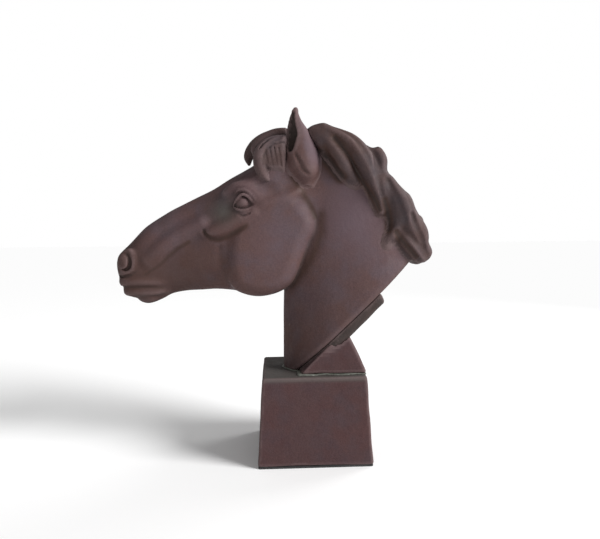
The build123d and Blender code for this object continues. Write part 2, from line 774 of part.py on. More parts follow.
def main():
    os.makedirs("parts", exist_ok=True)
    hair_studs = stud_places()[:len(mane_studs)]
    trim_studs = stud_places()[len(mane_studs):]
    washer = Pos(0, 0, stud_boss_depth) * disc(washer_diameter, bolt_bore, washer_thickness)
    nut = Pos(0, 0, stud_boss_depth + washer_thickness) * nut_blank()
    shell = left_shell()
    save("head_left", shell)
    save("head_right", mirror(shell, Plane.XZ))
    ear = left_ear()
    save("ear_left", ear)
    save("ear_right", mirror(ear, Plane.XZ))
    save("forelock_left", forelock(left_forelock, -1))
    save("forelock_right", forelock(right_forelock, 1))
    save("mane", mane())
    save("neck_cover", neck_cover())
    save("neck_wedge", neck_wedge())
    save("foot_seal", foot_seal())
    save("plinth", plinth(), 0)
    save("base_plate", base_plate(), 0)
    save("base_pad", base_pad(), 0)
    save("base_screws", base_screws(), 0)
    save("foot_bolts", foot_bolts())
    save("foot_washers", foot_washers())
    save("tie_rod", tie_rod())
    save("tie_rod_nuts", tie_rod_nuts())
    save("tie_rod_washers", tie_rod_washers())
    save("seam_bolts", seam_bolts())
    save("seam_washers", seam_washers())
    save("seam_nuts", seam_nuts())
    save("seam_dowels", seam_dowels())
    save("cover_screws", cover_screws())
    save("mane_studs", on_studs(stud_blank(), hair_studs))
    save("mane_washers", on_studs(washer, hair_studs))
    save("mane_nuts", on_studs(nut, hair_studs))
    save("trim_studs", on_studs(stud_blank(), trim_studs))
    save("trim_washers", on_studs(washer, trim_studs))
    save("trim_nuts", on_studs(nut, trim_studs))


main()
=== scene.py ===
import math

import bmesh
import bpy
import numpy as np
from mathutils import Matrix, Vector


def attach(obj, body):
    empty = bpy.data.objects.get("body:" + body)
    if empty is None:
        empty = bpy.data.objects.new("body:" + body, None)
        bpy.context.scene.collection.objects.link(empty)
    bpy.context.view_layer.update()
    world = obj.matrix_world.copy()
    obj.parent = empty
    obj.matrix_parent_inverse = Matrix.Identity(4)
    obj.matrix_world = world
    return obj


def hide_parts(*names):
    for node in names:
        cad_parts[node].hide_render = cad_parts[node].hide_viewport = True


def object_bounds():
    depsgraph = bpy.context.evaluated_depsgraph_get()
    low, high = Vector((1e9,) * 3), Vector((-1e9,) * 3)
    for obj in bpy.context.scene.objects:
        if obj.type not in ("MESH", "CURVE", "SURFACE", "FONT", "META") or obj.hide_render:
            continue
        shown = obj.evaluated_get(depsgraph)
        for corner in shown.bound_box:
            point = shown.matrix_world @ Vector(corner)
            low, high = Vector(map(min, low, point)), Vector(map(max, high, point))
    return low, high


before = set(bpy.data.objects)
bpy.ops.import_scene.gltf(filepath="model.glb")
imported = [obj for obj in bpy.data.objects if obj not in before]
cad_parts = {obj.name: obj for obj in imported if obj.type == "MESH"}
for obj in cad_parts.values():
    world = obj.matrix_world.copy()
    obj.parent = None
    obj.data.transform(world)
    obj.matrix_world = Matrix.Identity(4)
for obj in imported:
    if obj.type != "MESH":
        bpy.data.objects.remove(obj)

import openvdb
from mathutils import Matrix, Vector

cad_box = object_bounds()

# The bust is sculpted as fields of distances on a grid, in millimetres, in the CAD's
# frame.  Only the near half (y below 0) is sculpted, and "out" is the distance from
# the middle plane, so it is never negative.
MM = 0.001
STEP = 1.45
FAR = 60.0
BUST_LOW = (-326.0, -72.0, 136.0)
BUST_HIGH = (212.0, 0.0, 566.0)
PLINTH_TOP = 139.0
BUST_FOOT = 140.6                # neck, wedge and cover stand this high, in the putty
FOOT_HALF = round(-cad_box[0][1] / MM, 1)
# The cut across the neck: a point on it and its slope.
CUT_X, CUT_Z, CUT_SLOPE = 11, 173.5, math.radians(43.2)
HAIRLINE = 0.4                   # gap between the ear and the hair round it
BEND_REACH = 3.0                 # size of the edges that show wear and of the hollows painted dark as shade
BEND_GAIN = 0.9


# ------------------------------------------------------------------ curves
def spans(points, count):
    """A smooth curve from the second point to the last but one, with count steps in each span."""
    t = np.linspace(0, 1, count, endpoint=False)[:, None]
    out = []
    for a, b, c, d in zip(points, points[1:], points[2:], points[3:]):
        out.append(0.5 * (2 * b + (c - a) * t + (2 * a - 5 * b + 4 * c - d) * t ** 2
                          + (3 * b - a - 3 * c + d) * t ** 3))
    return np.vstack(out)


def spline(points, count):
    """A smooth curve through the points; a table's rows are made close together in the same way."""
    p = np.array(points, float)
    p = np.vstack([2 * p[0] - p[1], p, 2 * p[-1] - p[-2]])
    return np.vstack([spans(p, count), p[-2:-1]])


def ring(points, count):
    """A smooth closed curve through the points."""
    p = np.array(points, float)
    return spans(np.vstack([p[-1:], p, p[:2]]), count)


# ------------------------------------------------------------------- fields
def cut_height(x, z):
    """Height above the cut across the neck, square to it."""
    return (z - CUT_Z) * math.cos(CUT_SLOPE) - (x - CUT_X) * math.sin(CUT_SLOPE)


def smooth_min(a, b, soft):
    """The smaller of two fields, rounded over soft millimetres where they meet."""
    if soft <= 0:
        return np.minimum(a, b)
    h = np.clip(0.5 + 0.5 * (b - a) / soft, 0, 1)
    return b * (1 - h) + a * h - soft * h * (1 - h)


class Clay:
    """A solid kept as distances on a grid, negative inside."""

    def __init__(self, low=BUST_LOW, high=BUST_HIGH):
        self.first = np.round(np.array(low) / STEP).astype(int)
        self.last = np.round(np.array(high) / STEP).astype(int)
        self.field = np.full(tuple(self.last - self.first + 1), FAR, np.float32)

    def window(self, low, high):
        """The part of the grid in a box: its slices and its coordinates."""
        a = np.maximum(np.floor(np.array(low) / STEP).astype(int), self.first)
        b = np.minimum(np.ceil(np.array(high) / STEP).astype(int), self.last)
        if np.any(b < a):
            return None, None
        slices = tuple(slice(i - f, j - f + 1) for i, j, f in zip(a, b, self.first))
        axes = [np.arange(i, j + 1, dtype=np.float32) * STEP for i, j in zip(a, b)]
        return slices, np.meshgrid(*axes, indexing="ij", sparse=True)

    def places(self):
        """The coordinates x, y and z of the whole grid."""
        return self.window(self.first * STEP, self.last * STEP)[1]

    def blend(self, slices, distance, soft, cut=False):
        """Adds a solid to a part of the grid, or cuts it out."""
        old = self.field[slices]
        if cut:
            self.field[slices] = -smooth_min(-old, distance, soft)
        else:
            self.field[slices] = smooth_min(old, distance, soft)

    def ball(self, centre, radii, soft, cut=False, turn=0.0):
        """An ellipsoid at (x, out, z), turned in the side view by degrees."""
        x0, out, z0 = centre
        r = np.array(radii, float) * np.ones(3)
        reach = max(r) + soft + 4
        slices, (x, y, z) = self.window((x0 - reach, -out - reach, z0 - reach),
                                        (x0 + reach, -out + reach, z0 + reach))
        c, s = math.cos(math.radians(turn)), math.sin(math.radians(turn))
        u = (x - x0) * c + (z - z0) * s
        v = -(x - x0) * s + (z - z0) * c
        w = y + out
        k = np.sqrt((u / r[0]) ** 2 + (w / r[1]) ** 2 + (v / r[2]) ** 2)
        g = np.sqrt((u / r[0] ** 2) ** 2 + (w / r[1] ** 2) ** 2 + (v / r[2] ** 2) ** 2)
        self.blend(slices, k * (k - 1) / np.maximum(g, 1e-6), soft, cut)

    def strand(self, points, soft, cut=False, count=7):
        """A tapering bar along a smooth curve through (x, out, z, radius)."""
        line = spline(points, count)
        line[:, 3] = np.maximum(line[:, 3], 0.3)
        reach = line[:, 3].max() + soft + 4
        low = line.min(0)[:3] - reach
        high = line.max(0)[:3] + reach
        slices, axes = self.window((low[0], -high[1], low[2]), (high[0], -low[1], high[2]))
        if slices is None:
            return
        x, y, z = axes
        total = np.full(np.broadcast_shapes(x.shape, y.shape, z.shape), FAR, np.float32)
        for a, b in zip(line[:-1], line[1:]):
            r = max(a[3], b[3]) + soft + 4
            lo = [min(a[0], b[0]) - r, -max(a[1], b[1]) - r, min(a[2], b[2]) - r]
            hi = [max(a[0], b[0]) + r, -min(a[1], b[1]) + r, max(a[2], b[2]) + r]
            near = [slice(*np.searchsorted(axis.ravel(), (p, q))) for axis, p, q in zip(axes, lo, hi)]
            px, py, pz = x[near[0]], y[:, near[1]], z[:, :, near[2]]
            if 0 in (px.size, py.size, pz.size):
                continue
            ab = (b - a)[:3] * (1, -1, 1)
            dx, dy, dz = px - a[0], py + a[1], pz - a[2]
            t = np.clip((dx * ab[0] + dy * ab[1] + dz * ab[2]) / max(ab @ ab, 1e-6), 0, 1)
            d = np.sqrt((dx - t * ab[0]) ** 2 + (dy - t * ab[1]) ** 2 + (dz - t * ab[2]) ** 2)
            part = total[tuple(near)]
            np.minimum(part, d - (a[3] + t * (b[3] - a[3])), out=part)
        self.blend(slices, total, soft, cut)

    def pillow(self, outline, thickness, edge, soft, dome=0.0, inner=-FAR):
        """A rounded plate over a closed outline in the side view.

        It reaches from inner to thickness out from the middle plane, edge is the
        radius that rounds its rim, and dome is how far its middle swells."""
        shape = ring(outline, 6)
        low, high = shape.min(0) - 2 * edge - soft, shape.max(0) + 2 * edge + soft
        reach = thickness + edge + soft + 6
        slices, (x, y, z) = self.window((low[0], -reach, low[1]), (high[0], 0, high[1]))
        x2, z2 = x[:, 0, :], z[0]
        flat = outline_distance(shape, x2, z2)
        centre = shape.mean(0)
        size = np.ptp(shape, axis=0) / 2
        off_x, off_z = (x2 - centre[0]) / size[0], (z2 - centre[1]) / size[1]
        crown = dome * np.clip(1 - off_x ** 2 - off_z ** 2, 0, 1)
        side = flat[:, None, :] + edge
        rise = -y - (thickness - edge) - crown[:, None, :]
        outside = np.sqrt(np.maximum(side, 0) ** 2 + np.maximum(rise, 0) ** 2)
        d = np.minimum(np.maximum(side, rise), 0) + outside - edge
        d = np.maximum(d, inner + y)
        self.blend(slices, d.astype(np.float32), soft)

    def loft(self, sections, soft):
        """A solid skinned over closed sections of (x, y, z) points and capped at both ends."""
        points = np.vstack(sections)
        n, rows = len(sections[0]), len(sections)
        quads = [(r * n + i, r * n + (i + 1) % n, (r + 1) * n + (i + 1) % n, (r + 1) * n + i)
                 for r in range(rows - 1) for i in range(n)]
        ends = [sections[0].mean(0), sections[-1].mean(0)]
        points = np.vstack([points, ends])
        a, b, last = rows * n, rows * n + 1, (rows - 1) * n
        caps = [(a, (i + 1) % n, i) for i in range(n)] + [(b, last + i, last + (i + 1) % n) for i in range(n)]
        grid = openvdb.FloatGrid.createLevelSetFromPolygons(
            points.astype(np.float32), triangles=np.array(caps, np.uint32), quads=np.array(quads, np.uint32),
            transform=openvdb.createLinearTransform(STEP), halfWidth=16 / STEP)
        block = np.empty(self.field.shape, np.float32)
        grid.copyToArray(block, ijk=tuple(int(v) for v in self.first))
        self.field = smooth_min(self.field, block, soft)

    def block(self, planes, edge):
        """A solid between planes, each a point (x, out, z) and the way it faces."""
        x, y, z = self.places()
        whole = None
        for (px, out, pz), normal in planes:
            n = np.array(normal, float)
            n = n / np.linalg.norm(n)
            d = (x - px) * n[0] + (-y - out) * n[1] + (z - pz) * n[2]
            whole = d if whole is None else -smooth_min(-whole, -d, edge)
        self.field = np.minimum(self.field, whole).astype(np.float32)

    def keep(self, other, edge=0):
        """Keeps only what is also inside another field, with an edge rounded to that radius."""
        self.field = -smooth_min(-self.field, -other, edge)

    def ripple(self, depth, size, seed):
        """Gentle unevenness of a hand-finished casting."""
        x, y, z = self.places()
        rng = np.random.default_rng(seed)
        total = np.zeros(self.field.shape, np.float32)
        for _ in range(5):
            k = rng.normal(size=3)
            k *= 2 * math.pi / (size * rng.uniform(0.7, 1.4)) / np.linalg.norm(k)
            total += np.sin(k[0] * x + k[1] * y + k[2] * z + rng.uniform(0, 6.3)).astype(np.float32)
        self.field += depth * total / 2.5

    def mirrored(self):
        """The same solid on both sides of the middle plane."""
        both = Clay.__new__(Clay)
        both.first = self.first.copy()
        both.last = self.last.copy()
        both.last[1] = -self.first[1]
        both.field = np.concatenate([self.field, self.field[:, -2::-1, :]], axis=1)
        return both

    def mesh(self, name, tint=None, sheen_map=None):
        """The solid's skin as a mesh object in metres, with its curvature for rubbed ridges and for hollows
        painted in shade, its stains and painted shade, and its painted sheen.
        """
        field = self.field.copy()
        # the skin is closed where a solid reaches the grid's side
        for axis in range(3):
            for end in (0, -1):
                face = [slice(None)] * 3
                face[axis] = end
                field[tuple(face)] = np.maximum(field[tuple(face)], STEP)
        band = 4 * STEP
        grid = openvdb.FloatGrid(background=FAR)
        grid.copyFromArray(np.clip(field, -band, band))
        grid.background = band
        points, quads = grid.convertToQuads()
        places = (points.astype(float) + self.first) * STEP
        mesh = bpy.data.meshes.new(name)
        mesh.from_pydata((places * MM).tolist(), [], quads[:, ::-1].tolist())
        x, out, z = places[:, 0], np.abs(places[:, 1]), places[:, 2]
        clean = np.zeros(len(places))
        stain_and_shade = tint(x, out, z) if tint else clean
        painted_sheen = sheen_map(x, out, z) if sheen_map else clean
        for label, value in (("wear_and_shade", self.curvature(points)), ("stain_and_shade", stain_and_shade), ("painted_sheen", painted_sheen)):
            layer = mesh.attributes.new(label, "FLOAT", "POINT")
            layer.data.foreach_set("value", value.astype(np.float32))
        return shown(name, mesh)

    def curvature(self, points):
        """How convex (above 0.5) or hollow (below) the skin is at each point."""
        sharp = np.clip(self.field, -12, 12)
        reach = max(1, int(round(BEND_REACH / STEP)))
        blurred = sharp
        for axis in range(3):
            blurred = (np.roll(blurred, reach, axis) + np.roll(blurred, -reach, axis) + 2 * blurred) / 4
        bend = blurred - sharp
        i = np.clip(np.round(points).astype(int), 0, np.array(sharp.shape) - 1)
        return np.clip(0.5 + bend[i[:, 0], i[:, 1], i[:, 2]] * BEND_GAIN, 0, 1)


def outline_distance(shape, x, z):
    """Signed distance in the side view to a closed outline, negative inside."""
    best = np.full(np.broadcast_shapes(x.shape, z.shape), 1e9, np.float32)
    inside = np.zeros(best.shape, bool)
    for (ax, az), (bx, bz) in zip(shape, np.roll(shape, -1, axis=0)):
        ex, ez = bx - ax, bz - az
        t = np.clip(((x - ax) * ex + (z - az) * ez) / max(ex * ex + ez * ez, 1e-9), 0, 1)
        best = np.minimum(best, (x - ax - t * ex) ** 2 + (z - az - t * ez) ** 2)
        if az != bz:
            crossing = ((az > z) != (bz > z)) & (x < ex * (z - az) / ez + ax)
            inside ^= crossing
    return np.where(inside, -1, 1) * np.sqrt(best)


def shown(name, mesh):
    """A mesh put into the scene as a smooth-shaded piece."""
    for face in mesh.polygons:
        face.use_smooth = True
    piece = bpy.data.objects.new(name, mesh)
    bpy.context.collection.objects.link(piece)
    return piece


def flipped(piece, name):
    """The piece mirrored across the middle plane."""
    mesh = piece.data.copy()
    mesh.transform(Matrix.Scale(-1, 4, (0, 1, 0)))
    mesh.flip_normals()
    return shown(name, mesh)


def halves(piece, left, right):
    """Splits a symmetrical piece along the middle plane into a left and a right one."""
    work = bmesh.new()
    work.from_mesh(piece.data)
    geometry = work.verts[:] + work.edges[:] + work.faces[:]
    bmesh.ops.bisect_plane(work, geom=geometry, plane_co=(0, 0, 0), plane_no=(0, 1, 0), clear_outer=True)
    mesh = bpy.data.meshes.new(left)
    work.to_mesh(mesh)
    work.free()
    bpy.data.objects.remove(piece)
    first = shown(left, mesh)
    return first, flipped(first, right)


# --------------------------------------------------------------------- head
# x, underside, top, then half widths at 12, 36, 62 and 88 % of the height.
HEAD = [
    (-316.5, 307, 325, 5, 8, 8, 5),
    (-315, 299, 330, 9, 14, 14, 9),
    (-312, 288, 334, 13, 20, 20, 12),
    (-307, 274, 339, 16, 25, 26, 15),
    (-302, 264, 343.5, 17, 28, 30, 17),
    (-295, 260.5, 350, 18, 29, 32, 19),
    (-286, 258, 359, 19, 30, 33, 20),
    (-272, 251, 373, 20, 30, 33, 21),
    (-258, 252.5, 383.5, 20, 30, 32, 21),
    (-244, 258, 392.5, 20, 30, 31, 20),
    (-228, 266, 402, 21, 30, 30, 20),
    (-205, 270, 413, 22, 31, 30, 20),
    (-180, 271, 425.5, 24, 34, 33, 22),
    (-155, 272, 438, 27, 38, 39, 27),
    (-130, 270, 453, 29, 42, 45, 36),
    (-105, 267, 467, 31, 45, 50, 45),
    (-78, 266, 483, 31, 45, 51, 46),
    (-50, 275, 501, 30, 44, 48, 43),
    (-25, 300, 510, 27, 41, 44, 38),
    (5, 345, 512, 22, 36, 38, 33),
    (30, 385, 505, 16, 28, 30, 24),
    (48, 420, 490, 8, 16, 18, 12),
]
# z, front, back, then half widths at 12, 40, 70 and 92 % from front to back.
NECK = [
    (137, -46, 74, 34, 56, 57, 36),
    (160, -46.5, 92, 33, 56, 58, 34),
    (190, -46.5, 120, 32, 56, 58, 33),
    (225, -46, 150, 31, 55, 58, 32),
    (262, -45, 178, 31, 54, 57, 31),
    (300, -44, 188, 30, 52, 56, 29),
    (340, -42, 184, 30, 49, 52, 28),
    (380, -36, 172, 30, 46, 49, 28),
    (420, -30, 150, 29, 44, 46, 27),
    (455, -30, 122, 28, 42, 42, 26),
    (485, -30, 88, 25, 38, 36, 24),
    (508, -14, 48, 14, 24, 24, 14),
    (518, 0, 30, 5, 10, 10, 5),
]
CHEEK = [
    (-138, 322), (-137, 298), (-128, 276), (-106, 264), (-81, 261), (-53, 268), (-34, 281), (-24, 298),
    (-15, 322), (-5, 346), (6, 367), (7, 386), (-2, 403), (-16, 421), (-34, 436), (-66, 437),
    (-96, 418), (-122, 388), (-135, 356),
]


def head_section(row):
    x, low, high, a, b, c, d = row
    h = high - low
    side = [(a, low + 0.12 * h), (b, low + 0.36 * h), (c, low + 0.62 * h), (d, low + 0.88 * h)]
    half = [(0, low)] + side + [(0, high)] + [(-y, z) for y, z in reversed(side)]
    curve = ring(half, 6)
    return np.c_[np.full(len(curve), x), curve[:, 0], curve[:, 1]]


def neck_section(row):
    z, front, back, a, b, c, d = row
    w = back - front
    side = [(front + 0.12 * w, a), (front + 0.4 * w, b), (front + 0.7 * w, c), (front + 0.92 * w, d)]
    half = [(front, 0)] + side + [(back, 0)] + [(x, -y) for x, y in reversed(side)]
    curve = ring(half, 6)
    return np.c_[curve[:, 0], curve[:, 1], np.full(len(curve), z)]


def shape_cheek(clay):
    """The hollow of the jaw, the creases before and behind the cheek, and the round cheek itself."""
    clay.ball((-188, 46, 290), (46, 15, 15), 10, cut=True)
    clay.strand([(14, 54, 392, 3), (15, 54, 368, 7), (6, 55, 338, 9), (-8, 56, 310, 9), (-24, 54, 284, 8),
                 (-44, 48, 264, 6)], 10, cut=True)
    clay.strand([(-146, 43, 340, 1), (-146, 43, 318, 3.5), (-141, 41, 292, 4), (-132, 37, 274, 3)],
                9, cut=True)
    clay.pillow(CHEEK, 51, 24, 5, dome=3)


def shape_nose(clay):
    """Muscle of the nose, cheek bone with the groove under it, and slanting groove of the muzzle."""
    clay.strand([(-262, 24, 322, 11), (-238, 25, 342, 12), (-208, 24, 362, 13), (-175, 26, 378, 13)], 10)
    clay.strand([(-173, 32, 364, 5), (-158, 35, 365, 10), (-138, 38, 372, 12), (-114, 42, 384, 12),
                 (-92, 46, 396, 8)], 6)
    clay.strand([(-171, 38.5, 368, 0.8), (-167.5, 40.5, 361, 2.4), (-160, 43, 355.5, 3.6),
                 (-149, 46.5, 354, 4.4), (-135, 51, 358, 4.6), (-120, 54, 365, 4), (-104, 57, 374, 1.6)],
                5, cut=True)
    clay.strand([(-264, 34, 300, 1.5), (-244, 35, 313, 3.6), (-229, 35, 327, 4.4), (-214, 35.5, 339, 4.2),
                 (-200, 37.5, 347, 2.8), (-188, 40, 353, 1)], 3.5, cut=True)


def shape_brow(clay):
    """Brow, arch behind the eye, and the hollows of the temple and before the eye."""
    clay.strand([(-134, 36, 428, 6), (-120, 42, 436, 8), (-104, 44, 434, 9), (-90, 44, 424, 8),
                 (-78, 44, 412, 6)], 9)
    clay.strand([(-90, 43, 404, 6), (-66, 46, 410, 7), (-40, 45, 418, 7), (-22, 42, 428, 6)], 8)
    clay.ball((-72, 56, 437), (20, 8, 9), 8, cut=True, turn=-20)
    clay.ball((-134, 49, 404), (15, 6, 8), 7, cut=True, turn=30)


def shape_eye(clay):
    """Eyeball in its socket, the lids and the creases round them."""
    clay.ball((-108, 51.5, 413), (15.5, 4.8, 11.5), 5, cut=True, turn=-20)
    clay.ball((-108.5, 40.5, 412), 12.6, 1.2)
    clay.strand([(-124, 45.5, 405, 1), (-119, 49.5, 415, 1.9), (-110, 52.6, 423, 2.3), (-101, 52.6, 421, 2.3),
                 (-94, 50.8, 414, 2), (-87, 49, 407, 1)], 1.8)
    clay.strand([(-122, 47, 424, 0.8), (-113, 51, 431, 1.6), (-103, 53, 430, 2), (-94, 52.6, 422.5, 2),
                 (-86, 51, 412, 1.2)], 2.4)
    clay.strand([(-123, 45.5, 404, 1), (-117, 48.8, 400.5, 1.9), (-109, 51, 398.5, 2.3), (-99, 51, 401, 2.1),
                 (-90, 49.5, 406, 1.2)], 2)
    clay.strand([(-119, 51.5, 395.5, 0.5), (-109, 53.5, 391, 1.5), (-98, 53.5, 394, 0.8)], 2.5, cut=True)
    clay.strand([(-124, 47, 400, 0.6), (-132, 46, 401, 1.6), (-139, 44, 405, 0.8)], 4, cut=True)


def shape_nostril(clay):
    """Nostril with its raised rim round a crescent hollow."""
    clay.ball((-299, 20, 322), (12, 13, 15), 7)
    clay.strand([(-296, 26, 336, 2.6), (-290, 28, 337, 3.8), (-285.5, 29, 331, 4.6), (-284, 29.5, 321, 5),
                 (-287, 28.5, 310, 4.6), (-297, 25, 303.5, 3.4)], 5)
    clay.strand([(-297, 30, 333, 1), (-292, 32.5, 328, 2.4), (-290, 33, 319, 3.6), (-292, 32, 311, 3.4),
                 (-299, 29.5, 307, 2.2), (-305, 26, 309, 1)], 2, cut=True)


def shape_lips(clay):
    """Lips, mouth line, the fold behind the nostril and the chin."""
    clay.strand([(-308, 10, 286, 4), (-302, 22, 286, 5), (-288, 27, 287, 5), (-268, 27, 287, 5),
                 (-250, 23, 286, 4), (-236, 16, 286, 2)], 8)
    clay.strand([(-301, 8, 270, 5), (-296, 18, 271, 6), (-282, 22, 271, 6), (-264, 22, 270, 5.5),
                 (-248, 19, 271, 4), (-236, 12, 273, 2)], 7)
    clay.strand([(-312, 0, 278, 2), (-308, 14, 278, 2), (-299, 27, 278.5, 2.6), (-286, 31.5, 279, 2.6),
                 (-272, 33, 279, 2.6), (-256, 33.5, 279.5, 2.2), (-243, 33, 277, 1.8), (-236, 32, 273, 1)],
                1.6, cut=True)
    clay.strand([(-311, 14, 297, 0.8), (-303, 27, 296, 2), (-291, 32, 298, 2), (-280, 34, 304, 0.8)],
                3, cut=True)
    clay.ball((-268, 8, 261), (15, 12, 9), 6)


def sculpt_head():
    """Head and neck down to the slanting cut; one side only, the other is its mirror image."""
    clay = Clay()
    clay.loft([head_section(row) for row in spline(HEAD, 4)], 0)
    clay.loft([neck_section(row)[::-1] for row in spline(NECK, 4)], 10)
    shape_cheek(clay)
    shape_nose(clay)
    shape_brow(clay)
    shape_eye(clay)
    shape_nostril(clay)
    shape_lips(clay)
    # crease of the throat
    clay.strand([(12, 58, 372, 1), (4, 60, 335, 4), (-6, 61, 290, 5), (-14, 61, 240, 4), (-20, 60, 190, 1)],
                12, cut=True)
    clay.ripple(0.35, 46, 3)
    x, y, z = clay.places()
    clay.keep(-cut_height(x, z), 9)
    clay.keep(BUST_FOOT - z)
    return clay


# ------------------------------------------------------------ ears and hair
# z, x, out, then radii along and across.
EAR = [
    (438, -6, 38, 7, 7), (449, -8, 40, 14, 12), (460, -10, 41, 20, 16), (473, -12, 42, 24, 18),
    (490, -14, 42, 24.5, 16.5), (508, -18, 42.5, 21.5, 14), (524, -21.5, 43, 17, 11),
    (538, -25, 43.5, 11, 7.5), (549, -25.5, 44, 6.5, 4.8), (555, -24, 44, 4.6, 3.6),
    (559, -23.5, 44, 2.2, 2),
]
# The ear's hollow: its height from and to, its share of the ear's radii, and how far
# it lies off the ear's middle, in radii, along and out.
CUP_LOW, CUP_HIGH = 486, 552
CUP_SHARE = 0.66
CUP_ALONG, CUP_OUT = -0.62, 0.40


def oval(row, shift=(0, 0), share=1.0):
    """A level section of the ear, or of its hollow."""
    z, x, out, along_x, across = row
    turn = np.linspace(0, 2 * math.pi, 40, endpoint=False)
    return np.c_[x + shift[0] + share * along_x * np.cos(turn),
                 -out - shift[1] + share * across * np.sin(turn), np.full(40, z)]


def bed(clay, head, soft, edge=0.3):
    """Fairs a piece into the head with a fillet, and takes away what is deep inside the head.

    The fillet ends the sooner, and the more clearly, the larger edge is."""
    near = clay.field - soft
    fair = smooth_min(clay.field, head.field, soft) + edge * np.clip(clay.field / soft, 0, 1) ** 2
    clay.field = np.maximum(np.maximum(fair, -(head.field + 1.2)), near)


def sculpt_ear(head):
    """The near ear, and the hollow of its cup as a solid of its own."""
    clay = Clay()
    rows = spline(EAR, 4)
    clay.loft([oval(row) for row in rows], 0)
    # muscles at its root
    clay.ball((-7, 40, 462), (17, 18.5, 15), 6)
    clay.ball((-25, 38, 469), (11, 14, 14), 6)
    cup = Clay()
    sections = []
    for row in rows:
        if CUP_LOW + 1 < row[0] < CUP_HIGH:
            share = CUP_SHARE * math.sqrt(min(1.0, (row[0] - CUP_LOW) / 30))
            sections.append(oval(row, (CUP_ALONG * row[3], CUP_OUT * row[4]), share))
    cup.loft(sections, 0)
    clay.keep(-cup.field, 2.5)
    clay.strand([(-26, 57, 486, 1), (-19, 60, 472, 3), (-14, 60, 461, 3.4), (-4, 58, 453, 1.5)], 4, cut=True)
    clay.ripple(0.2, 30, 5)
    bed(clay, head, 8)
    return clay, cup


# Locks over the forehead, from the ear forwards and down: (x, out, z, radius).
NEAR_FORELOCK = [
    # over the top of the forehead
    [(-14, 14, 520, 12), (-36, 16, 521, 12), (-56, 18, 519, 12), (-74, 20, 511, 11), (-86, 21, 500, 9),
     (-89, 22, 489, 4)],
    # the big lock that curls back
    [(-20, 32, 507, 10), (-38, 35, 507, 11), (-55, 37, 506, 11), (-69, 39, 500, 11), (-79, 41, 488, 11),
     (-81, 44, 471, 10), (-77, 47, 457, 8), (-70, 50, 447, 3.5)],
]
# Hair that lies flat inside the curl, and the fine grooves in it and in the curl.
NEAR_PLATE = [(-40, 511), (-50, 510), (-66, 502), (-77, 488), (-76, 470), (-66, 461), (-52, 460), (-40, 462)]
NEAR_LINES = [
    [(-71, 49, 492, 0.6), (-70, 50.1, 482, 1.2), (-68, 50.4, 472, 1.1), (-66, 50.6, 465, 0.5)],
    [(-65, 48.5, 496, 0.8), (-63, 50.1, 483, 1.2), (-61, 50.5, 471, 1.1), (-60, 50.6, 462, 0.5)],
    [(-58, 48.5, 497, 0.8), (-56, 50.1, 484, 1.2), (-54, 50.4, 473, 1.2), (-53, 50.6, 464, 0.5)],
    [(-51, 48.5, 496, 0.8), (-49, 50.2, 483, 1.1), (-47, 50, 470, 1.4), (-46, 50, 461, 0.7)],
    [(-44, 48.5, 494, 0.7), (-42, 50.2, 482, 1.0), (-40, 50, 470, 1.3), (-39, 50, 462, 0.6)],
    [(-22, 41, 515, 0.8), (-42, 45, 516, 1.4), (-62, 47, 512, 1.6), (-78, 48, 498, 1.6), (-84, 49, 482, 1.2)],
    [(-24, 45, 504, 0.8), (-46, 49, 504, 1.2), (-62, 50, 499, 1.4), (-73, 51, 486, 1.6), (-75, 54, 470, 1.6),
     (-72, 55, 457, 0.8)],
]
FAR_FORELOCK = [
    [(-14, 14, 526, 12), (-36, 16, 527, 11), (-56, 19, 526, 11), (-76, 22, 520, 11), (-92, 25, 509, 10),
     (-101, 29, 494, 8.5), (-101, 33, 481, 3)],
    [(-24, 30, 512, 9), (-48, 35, 512, 9), (-70, 38, 505, 9), (-84, 41, 491, 8.5), (-86, 45, 474, 7),
     (-79, 49, 461, 3)],
    [(-26, 36, 506, 7), (-46, 40, 496, 7), (-58, 44, 482, 6), (-60, 48, 466, 2)],
    [(-22, 38, 500, 7), (-34, 42, 486, 7), (-40, 45, 472, 5), (-40, 47, 460, 2)],
]
EAR_FRONT = -38                  # where the ear hides the hair in the side view


def comb(clay, lock):
    """Two fine grooves along a lock."""
    line = spline(lock, 6)
    for side in (-0.55, 0.45):
        groove = []
        for a, b in zip(line[1:-3], line[2:-2]):
            across = np.array([-(b - a)[2], (b - a)[0]])
            across = across / max(np.linalg.norm(across), 1e-6) * a[3] * side
            out = a[1] + a[3] * math.sqrt(1 - side ** 2) + 0.2
            groove.append((a[0] + across[0], out, a[2] + across[1], 0.9))
        clay.strand(groove[::2], 0.8, cut=True, count=3)


def sculpt_near_forelock(head, ear):
    """The curled lock on the side that the photo shows."""
    clay = Clay()
    clay.pillow(NEAR_PLATE, 49.5, 7, 0, inner=24)
    for lock in NEAR_FORELOCK:
        clay.strand(lock, 2.5, count=10)
    x, y, z = clay.places()
    clay.keep(x - EAR_FRONT, 1.5)
    for line in NEAR_LINES:
        clay.strand(line, 0.9, cut=True)
    bed(clay, head, 3)
    clay.keep(HAIRLINE - ear.field)
    return clay


def sculpt_far_forelock(head, ear):
    """The other side's locks, sculpted on the near side too and mirrored later."""
    clay = Clay()
    for lock in FAR_FORELOCK:
        clay.strand(lock, 2.5, count=10)
    for lock in FAR_FORELOCK:
        comb(clay, lock)
    bed(clay, head, 3)
    clay.keep(HAIRLINE - ear.field)
    return clay


